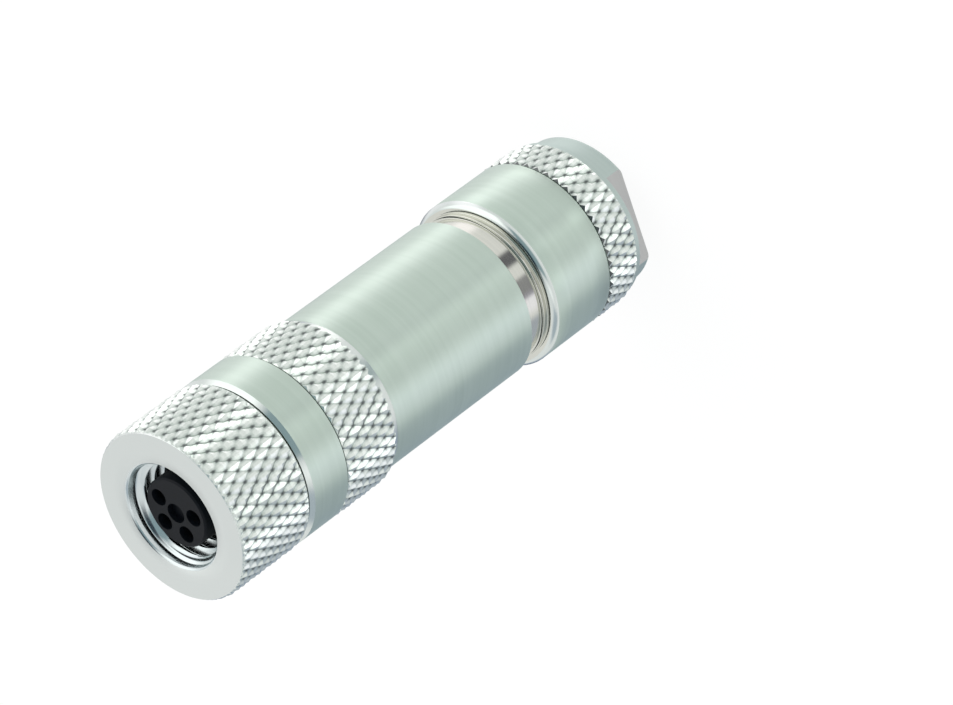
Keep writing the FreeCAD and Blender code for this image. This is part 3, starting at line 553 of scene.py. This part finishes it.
def studio():
    world = bpy.data.worlds.new("studio")
    bpy.context.scene.world = world
    world.use_nodes = True
    n, links = world.node_tree.nodes, world.node_tree.links
    n.clear()
    out = add(n, "ShaderNodeOutputWorld")
    direction = add(n, "ShaderNodeTexCoord").outputs["Generated"]
    split = add(n, "ShaderNodeSeparateXYZ")
    links.new(direction, split.inputs[0])
    elevation = math_node(n, links, "ARCSINE", split.outputs["Z"])

    def along(vector):
        dot = add(n, "ShaderNodeVectorMath", operation="DOT_PRODUCT")
        links.new(direction, dot.inputs[0])
        dot.inputs[1].default_value = vector
        return dot.outputs["Value"]

    def within(angle, half, soft):
        """1 where an angle is less than half from zero, falling to 0 across the soft edge."""
        edge = add(n, "ShaderNodeMapRange", interpolation_type="SMOOTHSTEP")
        links.new(math_node(n, links, "ABSOLUTE", angle), edge.inputs["Value"])
        edge.inputs["From Min"].default_value = math.radians(half - soft)
        edge.inputs["From Max"].default_value = math.radians(half + soft)
        edge.inputs["To Min"].default_value = 1
        edge.inputs["To Max"].default_value = 0
        return edge.outputs["Result"]

    def combined(operation, first, second):
        both = add(n, "ShaderNodeVectorMath", operation=operation)
        links.new(first, both.inputs[0])
        links.new(second, both.inputs["Scale" if operation == "SCALE" else 1])
        return both.outputs[0]

    total = None
    for azimuth, half_width, height, half_height, soft, colour in PANELS:
        a = math.radians(azimuth)
        turn = math_node(n, links, "ARCTAN2", along((-math.sin(a), math.cos(a), 0)),
                         along((math.cos(a), math.sin(a), 0)))
        rise = math_node(n, links, "SUBTRACT", elevation, math.radians(height))
        shape = math_node(n, links, "MULTIPLY", within(turn, half_width, soft), within(rise, half_height, soft))
        panel = add(n, "ShaderNodeVectorMath", operation="SCALE")
        panel.inputs[0].default_value = colour
        links.new(shape, panel.inputs["Scale"])
        total = panel.outputs[0] if total is None else combined("ADD", total, panel.outputs[0])

    # White for the camera and in every reflection. The panels are hidden from the camera.
    path = add(n, "ShaderNodeLightPath")
    seen = math_node(n, links, "MAXIMUM", path.outputs["Is Camera Ray"], path.outputs["Is Glossy Ray"])
    seen = math_node(n, links, "MAXIMUM", seen, path.outputs["Is Transmission Ray"])
    surround = add(n, "ShaderNodeMix", data_type="RGBA")
    matt, white = (socket for socket in surround.inputs if socket.type == "RGBA")
    matt.default_value = MATT_SURROUND
    white.default_value = WHITE
    links.new(seen, surround.inputs["Factor"])
    mixed = next(socket for socket in surround.outputs if socket.type == "RGBA")
    hidden = math_node(n, links, "SUBTRACT", 1, path.outputs["Is Camera Ray"])
    light = combined("ADD", mixed, combined("SCALE", total, hidden))
    never_black = add(n, "ShaderNodeVectorMath", operation="MAXIMUM")
    links.new(light, never_black.inputs[0])
    never_black.inputs[1].default_value = DARKEST
    background = add(n, "ShaderNodeBackground")
    links.new(never_black.outputs[0], background.inputs["Color"])
    links.new(background.outputs[0], out.inputs["Surface"])


studio()


# Floor: a plain pale sheet just under the clamp nut, seen by the camera only

FLOOR_HALF = 600
FLOOR_DROP = 0.05
FLOOR_GLOW = (0.9, 0.9, 0.9, 1)
FLOOR_COLOUR = (0.14, 0.14, 0.14, 1)


def floor():
    mesh = bpy.data.meshes.new("floor")
    half = FLOOR_HALF * MM
    corners = [(-half, -half, 0), (half, -half, 0), (half, half, 0), (-half, half, 0)]
    mesh.from_pydata(corners, [], [(0, 1, 2, 3)])
    sheet = bpy.data.objects.new("floor", mesh)
    sheet.location.z = -FLOOR_DROP * MM
    bpy.context.scene.collection.objects.link(sheet)
    material = bpy.data.materials.new("white_floor")
    material.use_nodes = True
    n, links = material.node_tree.nodes, material.node_tree.links
    n.clear()
    out = add(n, "ShaderNodeOutputMaterial")
    glow = add(n, "ShaderNodeEmission")
    glow.inputs["Color"].default_value = FLOOR_GLOW
    diffuse = add(n, "ShaderNodeBsdfDiffuse")
    diffuse.inputs["Color"].default_value = FLOOR_COLOUR
    both = add(n, "ShaderNodeAddShader")
    links.new(glow.outputs[0], both.inputs[0])
    links.new(diffuse.outputs[0], both.inputs[1])
    links.new(both.outputs[0], out.inputs["Surface"])
    mesh.materials.append(material)
    sheet.visible_diffuse = False
    sheet.visible_glossy = False
    sheet.visible_transmission = False
    sheet.visible_shadow = False


floor()


# Camera at the photograph's viewing angle: its place, and the directions that are right and up in the picture

CAMERA_PLACE = (-3.42, -322.4, 258.3)
CAMERA_RIGHT = (-0.5992, -0.4817, -0.6395)
CAMERA_UP = (0.8006, -0.3605, -0.4786)


def camera():
    lens = bpy.data.cameras.new("camera")
    lens.sensor_width = 36
    lens.lens = 219.0
    lens.clip_start = 0.01
    lens.clip_end = 10
    seen = bpy.data.objects.new("camera", lens)
    bpy.context.scene.collection.objects.link(seen)
    right = Vector(CAMERA_RIGHT)
    back = right.cross(Vector(CAMERA_UP)).normalized()
    up = back.cross(right).normalized()
    turn = Matrix((right.normalized(), up, back)).transposed().to_4x4()
    seen.matrix_world = Matrix.Translation(Vector(CAMERA_PLACE) * MM) @ turn
    bpy.context.scene.camera = seen


camera()
bpy.context.scene.view_settings.view_transform = "Standard"
